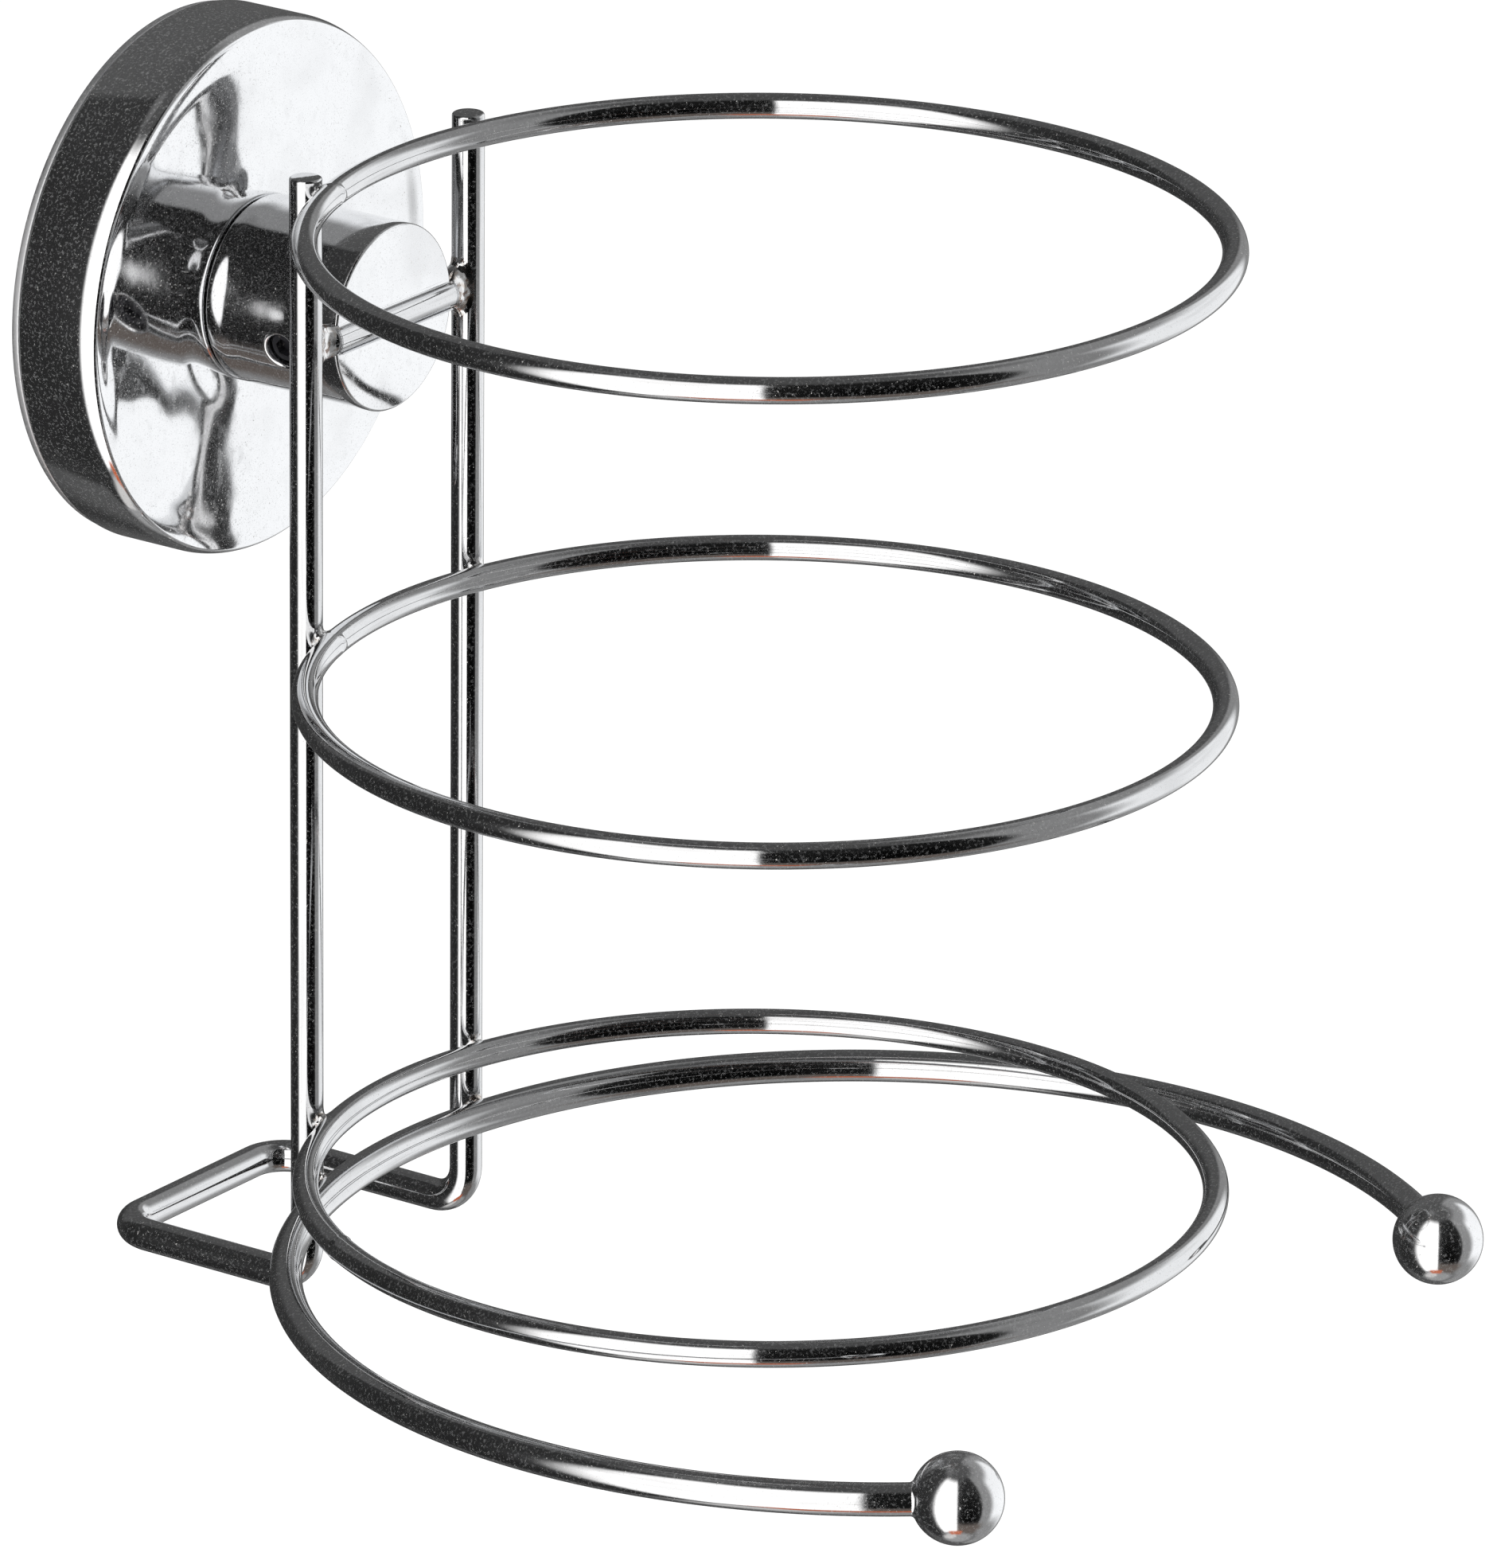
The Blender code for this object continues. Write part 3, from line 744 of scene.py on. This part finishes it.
def make_bar(mat):
    """Bar across the post's end; its blunt ends are burnt back by the butt welds."""
    half = VERT_X - FRAME_R - BAR_BURNT
    path = [Vector((x, VERT_Y, 0)) for x in spread(-half, half, BAR_STEPS)]
    bm = sweep(path, FRAME_R, end_round=BAR_END_ROUND)
    from_bmesh("post_cross_bar", bm, mat, "holder", ("cross_bar",))


def make_cradle(mat):
    """Open loop whose two ends stop inside the balls, half a radius from their centres."""
    inset = 0.5 * BALL_R / CRADLE_R
    angles = spread(CRADLE_END + inset, math.pi - CRADLE_END - inset, LOOP_STEPS)
    path = circle_path(CRADLE_AT, CRADLE_R, angles)
    from_bmesh("cradle_loop_wire", sweep(path, FRAME_R), mat, "holder", ("cord_cradle",))


def make_balls(mat):
    """Polished balls on the cradle's ends; the collars of braze come with the welds."""
    for side, node in ((-1, "ball_left"), (1, "ball_right")):
        bm = bmesh.new()
        bmesh.ops.create_uvsphere(bm, u_segments=96, v_segments=64, radius=BALL_R)
        bm.transform(Matrix.Translation((side * BALL_AT.x, BALL_AT.y, BALL_AT.z)))
        from_bmesh(node + "_end", bm, mat, "holder", (node,))


POST_WALL = 1.9 * MM
POST_EDGE = 0.35 * MM
POST_EDGE_STEPS = 5
POST_FLOOR = 3.7 * MM         # thickness of the post's closed end
HOLE_R = 2.05 * MM            # for the grub screw
HOLE_EDGE = 0.28 * MM         # worn edge round the hole
PATCH_HALF = 10               # cells from the hole's centre to the edge of its patch
PLAIN_ROWS = 4                # rows of cells on either side of that patch
WEB_STEPS = 4                 # loops between the patch's edge and the hole


def pierced_wall(bm, radius, y_back, y_front, rim_r):
    """Round wall about Y with one round hole: its end loops and the loop round the hole."""
    segments = TURNED_SEGMENTS
    column = round(GRUB_ANGLE / (2 * math.pi) * segments)
    cell = 2 * math.pi * POST_R / segments
    patch = [GRUB_AT.y + cell * k for k in range(PATCH_HALF, -PATCH_HALF - 1, -1)]
    rows = (spread(y_back, patch[0], PLAIN_ROWS)[:-1] + patch
            + spread(patch[-1], y_front, PLAIN_ROWS)[1:])
    loops = [turned_loop(bm, radius, y) for y in rows]
    top, bottom = PLAIN_ROWS, PLAIN_ROWS + 2 * PATCH_HALF
    left, right = column - PATCH_HALF, column + PATCH_HALF
    for i, (a, b) in enumerate(zip(loops, loops[1:])):
        for k in range(segments):
            if top <= i < bottom and left <= k < right:
                continue
            bm.faces.new((a[k], a[(k + 1) % segments], b[(k + 1) % segments], b[k]))
    edge = ([(top, c) for c in range(left, right)]
            + [(r, right) for r in range(top, bottom)]
            + [(bottom, c) for c in range(right, left, -1)]
            + [(r, left) for r in range(bottom, top, -1)])
    outer = [loops[r][c] for r, c in edge]

    # The patch's square edge shrinks in steps to the round rim, along the wall.
    across = Vector((-math.sin(GRUB_ANGLE), 0, math.cos(GRUB_ANGLE)))
    flat = [(v.co.dot(across), v.co.y - GRUB_AT.y) for v in outer]
    for t in spread(0, 1, WEB_STEPS)[1:]:
        inner = []
        for s, y in flat:
            k = 1 + (rim_r / math.hypot(s, y) - 1) * t
            place = across * (s * k) + GRUB_OUT * math.sqrt(radius ** 2 - (s * k) ** 2)
            place.y = GRUB_AT.y + y * k
            inner.append(bm.verts.new(place))
        bridge(bm, outer, inner)
        outer = inner
    bmesh.ops.delete(bm, geom=[v for v in bm.verts if not v.link_faces], context="VERTS")
    return loops[0], loops[-1], outer


def worn_rim(bm, rim):
    """Carry the hole's outer loop over its worn edge; returns the last loop."""
    hole = Vector((0, GRUB_AT.y, 0))
    last = rim
    for a in QUARTER_STEPS:
        sunk = []
        for v in rim:
            spoke = v.co - hole - GRUB_OUT * GRUB_OUT.dot(v.co - hole)
            height = GRUB_OUT.dot(v.co) - HOLE_EDGE * (1 - math.cos(a))
            place = hole + spoke.normalized() * (HOLE_R + HOLE_EDGE * (1 - math.sin(a)))
            sunk.append(bm.verts.new(place + GRUB_OUT * height))
        bridge(bm, last, sunk)
        last = sunk
    return last


def make_post(mat):
    """Post tube: polished end, worn edges and the side hole that the grub screw is in."""
    bm = bmesh.new()
    inner_r = POST_R - POST_WALL
    edge_r = POST_R - POST_EDGE
    front_y, back_y = POST_END + POST_EDGE, POST_BACK - POST_EDGE
    back, front, rim = pierced_wall(bm, POST_R, back_y, front_y, HOLE_R + HOLE_EDGE)
    in_back, in_front, in_rim = pierced_wall(bm, inner_r, back_y, POST_END + POST_FLOOR, HOLE_R)
    bridge(bm, worn_rim(bm, rim), in_rim)
    front_edge = quarter((edge_r, front_y), POST_EDGE, 0, -90, POST_EDGE_STEPS)
    back_edge = quarter((edge_r, back_y), POST_EDGE, 0, 90, POST_EDGE_STEPS)
    end = [(0.6 * POST_R, POST_END), (0.25 * POST_R, POST_END)]
    bm.faces.new(turn_further(bm, front, front_edge[1:] + end))
    bm.faces.new(in_front)
    bridge(bm, turn_further(bm, back, back_edge[1:] + [(inner_r, POST_BACK)]), in_back)
    from_bmesh("post_tube", bm, mat, "holder", ("post_sleeve",))


# ---- welds -----------------------------------------------------------------------
# A field gives the distance of points from a shape's surface, negative inside it.
WELD_SINK = 0.02 * MM         # the weld lies this far inside the wires that it joins
WELD_DETAIL = 6               # subdivisions of the sphere that each weld is made from
WELD_HALVINGS = 22            # steps of the search for its surface


def rod(a, b, radius):
    """Distance field of a round bar between two points."""
    a, b = np.array(a), np.array(b)

    def field(p):
        t = np.clip(((p - a) @ (b - a)) / ((b - a) @ (b - a)), 0, 1)
        return np.linalg.norm(p - (a + t[:, None] * (b - a)), axis=1) - radius
    return field


def hoop(centre, loop_r, wire_r):
    """Distance field of a level ring of round wire."""
    centre = np.array(centre)

    def field(p):
        d = p - centre
        return np.hypot(np.hypot(d[:, 0], d[:, 1]) - loop_r, d[:, 2]) - wire_r
    return field


def union(a, b, blend, extra=0.0):
    """Smooth union of two distances, with extra metal where both shapes are near."""
    shared = np.clip(1 - np.abs(a - b) / blend, 0, 1)
    return np.minimum(a, b) - shared ** 2 * (blend / 4 + extra)


def joined(first, second, blend):
    """Distance field of two shapes in a smooth union."""
    def field(p):
        return union(first(p), second(p), blend)
    return field


def lumpy(p):
    """Fixed unevenness of weld metal, between -1 and 1, in waves of about 1 mm."""
    x, y, z = (p / MM).T
    return (np.sin(2.9 * x + 1.3 * z + 0.7) * np.sin(3.1 * z - 0.9 * y)
            + 0.6 * np.sin(5.3 * y + 2.1 * x + 1.9) * np.sin(4.7 * x - 3.7 * z)) / 1.6


def weld(name, at, first, second, blend, reach, lumps, mat):
    """Weld metal in the crease of two shapes: their smooth union round one point."""
    bm = bmesh.new()
    bmesh.ops.create_icosphere(bm, subdivisions=WELD_DETAIL, radius=1.0)
    at = np.array(at)
    rays = np.array([v.co.normalized() for v in bm.verts])
    near, far = np.zeros(len(rays)), np.full(len(rays), reach)
    for _ in range(WELD_HALVINGS):
        middle = (near + far) / 2
        p = at + middle[:, None] * rays
        inside = union(first(p), second(p), blend, lumps * lumpy(p)) + WELD_SINK < 0
        near = np.where(inside, middle, near)
        far = np.where(inside, far, middle)
    for v, co in zip(bm.verts, at + near[:, None] * rays):
        v.co = co
    from_bmesh(name, bm, mat, "holder")


CROSSING_BLEND = 1.2 * MM
CROSSING_REACH = 2.4 * MM
CROSSING_LUMPS = 0.10 * MM
CROSSING_HALF = 4 * MM        # length of the vertical that counts, above and below


def make_crossing_welds(mat, tinted):
    """Where each ring and the cradle cross the two verticals; the lowest are heat-tinted."""
    loops = [(node, ring_centre(node), RING_R, RING_WIRE_R) for node in RINGS]
    loops.append(("cradle", CRADLE_AT, CRADLE_R, FRAME_R))
    for node, centre, loop_r, wire_r in loops:
        for side, word in ((-1, "left"), (1, "right")):
            axis = Vector((side * VERT_X, VERT_Y, centre.z))
            towards = (centre - axis).normalized()
            gap = (centre - axis).length - loop_r - FRAME_R - wire_r
            at = axis + towards * (FRAME_R + gap / 2)
            low = axis - Z * CROSSING_HALF
            high = Vector((axis.x, axis.y, min(centre.z + CROSSING_HALF, VERT_TOP - FRAME_R)))
            weld("weld_" + node + "_" + word, at, rod(low, high, FRAME_R),
                 hoop(centre, loop_r, wire_r), CROSSING_BLEND, CROSSING_REACH, CROSSING_LUMPS,
                 tinted if node in ("ring_bottom", "cradle") else mat)


NUGGET_R = 1.25 * MM          # butt weld between the bar and a vertical
NUGGET_OUT = 0.5 * MM
NUGGET_BACK = 0.55 * MM
NUGGET_TALL = 1.15 * MM
NUGGET_NECK = 2.4 * MM        # how softly the weld runs into the bar
NUGGET_BLEND = 1.5 * MM
NUGGET_REACH = 4.2 * MM
NUGGET_LUMPS = 0.05 * MM
NUGGET_HALF = 6 * MM          # length of the vertical that counts, above and below


def make_bar_welds(mat):
    """Butt welds at the bar's ends: a nugget that runs into the bar and the vertical."""
    for side, word in ((-1, "left"), (1, "right")):
        axis = Vector((side * VERT_X, VERT_Y, 0))
        at = axis + Vector((-side * (FRAME_R + NUGGET_OUT), NUGGET_BACK, 0))
        tip = axis - Vector((side * (FRAME_R + BAR_BURNT + FRAME_R), 0, 0))
        bar = rod(tip, Vector((0, VERT_Y, 0)), FRAME_R)
        nugget = rod(at - Z * NUGGET_TALL, at + Z * NUGGET_TALL, NUGGET_R)
        vertical = rod(axis - Z * NUGGET_HALF, axis + Z * NUGGET_HALF, FRAME_R)
        weld("weld_bar_" + word, at, vertical, joined(nugget, bar, NUGGET_NECK),
             NUGGET_BLEND, NUGGET_REACH, NUGGET_LUMPS, mat)


BRAZE_FILLET = 0.5 * MM
BRAZE_ARC_STEPS = 6
BRAZE_STEPS = 60


def make_bar_braze(mat):
    """Braze along both sides of the bar, in its crease with the post's end."""
    sink = VERT_Y - POST_END
    z = math.sqrt((FRAME_R + BRAZE_FILLET) ** 2 - (sink + BRAZE_FILLET) ** 2)
    lean = math.degrees(math.atan2(sink + BRAZE_FILLET, z))
    section = quarter((z, POST_END - BRAZE_FILLET), BRAZE_FILLET, 90, 180 + lean,
                      BRAZE_ARC_STEPS)
    section.append((z - BRAZE_FILLET, POST_END + BRAZE_FILLET))
    half = math.sqrt((POST_R - POST_EDGE) ** 2 - z * z)
    for side, word in ((-1, "under"), (1, "over")):
        bm = bmesh.new()
        loops = [[bm.verts.new((x, y, side * r)) for r, y in section]
                 for x in spread(-half, half, BRAZE_STEPS)]
        for a, b in zip(loops, loops[1:]):
            bridge(bm, a, b)
        bm.faces.new(loops[0][::-1])
        bm.faces.new(loops[-1])
        from_bmesh("braze_" + word + "_bar", bm, mat, "holder")


COLLAR_BLEND = 0.5 * MM
COLLAR_REACH = 2.5 * MM
COLLAR_LUMPS = 0.03 * MM
BALL_ROD = 0.001 * MM         # a rod this short has the field of a ball


def make_ball_welds(mat):
    """Thin collar of braze where the cradle's ends go into the balls."""
    end = CRADLE_END + BALL_R / CRADLE_R
    loop = hoop(CRADLE_AT, CRADLE_R, FRAME_R)
    for side, word in ((-1, "left"), (1, "right")):
        middle = Vector((side * BALL_AT.x, BALL_AT.y, BALL_AT.z))
        ball = rod(middle, middle + Z * BALL_ROD, BALL_R)
        at = CRADLE_AT + CRADLE_R * Vector((side * math.cos(end), math.sin(end), 0))
        weld("braze_ball_" + word, at, ball, loop,
             COLLAR_BLEND, COLLAR_REACH, COLLAR_LUMPS, mat)


# ---- disc and wall unit ----------------------------------------------------------
SAG = 0.22 * MM               # how far the face lies behind a true plane on average
WAVE_TALL = 0.20 * MM         # broad waves of the pressed sheet
WAVE_SIZE = 14 * MM
WAVE_PLACE = Vector((3.1, 7.7, 0.4))
RIPPLE_TALL = 0.045 * MM      # smaller ones over them
RIPPLE_SIZE = 6.5 * MM
RIPPLE_PLACE = Vector((1.7, 2.3, 5.0))


def face_sag(x, z):
    """How far the pressed face lies behind a true plane: shallow waves of thin sheet."""
    p = Vector((x, z, 0.0))
    wave = noise.noise(p / WAVE_SIZE + WAVE_PLACE)
    ripple = noise.noise(p / RIPPLE_SIZE + RIPPLE_PLACE)
    return SAG + WAVE_TALL * wave + RIPPLE_TALL * ripple


def smooth(t):
    """Rise from 0 to 1 with level ends, for t from 0 to 1."""
    t = min(1.0, max(0.0, t))
    return t * t * (3 - 2 * t)


CROWN_R = 4.3 * MM            # gentle curve of the disc's wall towards its front
CROWN = math.radians(28)
CORNER_R = 0.45 * MM          # tight corner between that curve and the face
DISC_WALL = 1.1 * MM
DISC_LIP = 0.25 * MM          # worn edge at the back of the wall
DISC_OVERLAP = 1.3 * MM       # how far the face runs in under the post
DISC_SEGMENTS = 288
FACE_STEPS = 50
RIM_FADE = 3.0 * MM           # the waves die out over these widths, at the rim
POST_FADE = 4.5 * MM          # and round the post
HAIR = 0.001 * MM             # a point this near the face lies on it


def make_disc(mat):
    """Thin pressed cover: wavy mirror face, crowned front edge, straight wall, worn lip."""
    hole = POST_R - DISC_OVERLAP
    inner = DISC_FRONT + DISC_WALL
    bend_y = DISC_FRONT + CORNER_R * (1 - math.sin(CROWN))
    crown_at = (DISC_R - CROWN_R, bend_y + CROWN_R * math.sin(CROWN))
    crown = quarter(crown_at, CROWN_R, 0, -math.degrees(CROWN), 14)
    corner_x = crown[-1][0] - CORNER_R * math.cos(CROWN)
    corner = quarter((corner_x, DISC_FRONT + CORNER_R), CORNER_R, -math.degrees(CROWN), -90)
    lip = quarter((DISC_R - DISC_LIP, DISC_BACK - DISC_LIP), DISC_LIP, 90, 0, 4)
    face = [(r, DISC_FRONT) for r in spread(corner_x, hole, FACE_STEPS)[1:]]
    profile = ([(DISC_R - DISC_WALL, DISC_BACK)] + lip + crown + corner[1:] + face
               + [(hole, inner), (DISC_R - DISC_WALL, inner)])
    bm = turned(profile, DISC_SEGMENTS)
    for v in bm.verts:
        if v.co.y < DISC_FRONT + HAIR:
            r = math.hypot(v.co.x, v.co.z)
            fade = smooth((corner_x - r) / RIM_FADE) * smooth((r - POST_R) / POST_FADE)
            v.co.y += face_sag(v.co.x, v.co.z) * fade
    from_bmesh("mirror_disc", bm, mat, "lock_disc", ("rosette_cover",))


def make_housing(mat):
    """Backing ring: a lip against the wall, a stepped body and a plate for the washer."""
    lip = 1.0 * MM
    step = 1.3 * MM
    wall = 3.0 * MM
    soft = 0.2 * MM
    bore = 8.6 * MM
    plate = HOUSING_FRONT + 1.6 * MM
    inner = HOUSING_R - wall
    body_r = HOUSING_R - step
    profile = ([(inner, 0.0)]
               + quarter((HOUSING_R - soft, -soft), soft, 90, 0, 4)
               + quarter((HOUSING_R - soft, -lip + soft), soft, 0, -90, 4)
               + [(body_r, -lip), (body_r, HOUSING_FRONT + lip), (body_r - lip, HOUSING_FRONT),
                  (bore, HOUSING_FRONT), (bore, plate), (inner, plate)])
    from_bmesh("housing_ring", turned(profile), mat, "wall_unit", ("base_housing",))


RIDGES = 5                    # sealing ridges on the pad's back, each nearer the wall
RIDGE_AT = 18.5 * MM
RIDGE_PITCH = 1.65 * MM
RIDGE_WIDE = 1.1 * MM
RIDGE_TALL = 0.22 * MM
RIDGE_TOP = -0.30 * MM
RIDGE_RISE = 0.06 * MM


def pad_ridges():
    """Outline of the sealing ridges, from the middle outwards."""
    points = []
    for k in range(RIDGES):
        start = RIDGE_AT + k * RIDGE_PITCH
        top = RIDGE_TOP + k * RIDGE_RISE
        points += [(start, top - RIDGE_TALL), (start + 0.35 * RIDGE_WIDE, top),
                   (start + 0.75 * RIDGE_WIDE, top), (start + RIDGE_WIDE, top - RIDGE_TALL)]
    return points


def make_pad(mat):
    """Suction pad: dished back with sealing ridges, thin soft rim and the stud's hub."""
    dimple, dimple_r, dimple_edge = 1.0 * MM, 0.9 * MM, 0.4 * MM
    dish, dish_r = 0.7 * MM, 9 * MM
    seal, rim = 0.6 * MM, 0.35 * MM
    body, taper = 2.0 * MM, 2.0 * MM
    hub_r, fillet = 8.0 * MM, 1.5 * MM
    pocket_r, pocket = 6.8 * MM, 2.4 * MM
    profile = ([(0.0, -dimple), (dimple_r, -dimple), (dimple_r + dimple_edge, -dish),
                (dish_r, -dish)]
               + pad_ridges() + [(PAD_R - seal, 0.0)]
               + quarter((PAD_R - rim, -rim), rim, 90, -90)
               + [(PAD_R - taper, -body), (hub_r + fillet, -body)]
               + quarter((hub_r + fillet, -body - fillet), fillet, 90, 180, 6)
               + [(hub_r, PAD_LO.y), (pocket_r, PAD_LO.y), (pocket_r, -pocket), (0.0, -pocket)])
    from_bmesh("suction_cup", turned(profile), mat, "wall_unit", ("suction_pad",),
               sharp_deg=50.0)


# ---- the holder put together -----------------------------------------------------
def dress_cad_nodes():
    """Materials of the inner CAD nodes, which are shown in the shape that they have."""
    looks = {"thrust_washer": turned_metal("washer_steel", STEEL, 0.3),
             "locking_nut": nylon("nut_nylon"),
             "drive_collar": nylon("collar_nylon"),
             "pad_stud": turned_metal("stud_steel", STEEL, 0.25),
             "spigot": turned_metal("spigot_zinc", ZINC, 0.22),
             "grub_screw": black_oxide("screw_oxide")}
    for node, mat in looks.items():
        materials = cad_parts[node].data.materials
        materials.clear()
        materials.append(mat)


add_camera()
add_studio()
WIRE_CHROME = chrome("wire_chrome", polish=0.06, grain_share=0.09, drawn=True)
PLAIN_CHROME = chrome("polished_chrome")
BURNT_WELD = weld_metal("burnt_weld", burn=0.08)
make_rings(WIRE_CHROME)
make_frame(WIRE_CHROME)
make_bar(WIRE_CHROME)
make_cradle(WIRE_CHROME)
make_balls(chrome("ball_chrome", polish=0.13, ripple_size=7.0e-6, grain_share=0.10))
make_post(chrome("post_chrome", grain_share=0.08))
make_crossing_welds(weld_metal("plated_weld", burn=0.02), BURNT_WELD)
make_bar_welds(BURNT_WELD)
make_bar_braze(PLAIN_CHROME)
make_ball_welds(PLAIN_CHROME)
make_disc(PLAIN_CHROME)
make_housing(chrome("housing_chrome", polish=0.50))
make_pad(pad_rubber("pad_elastomer"))
dress_cad_nodes()
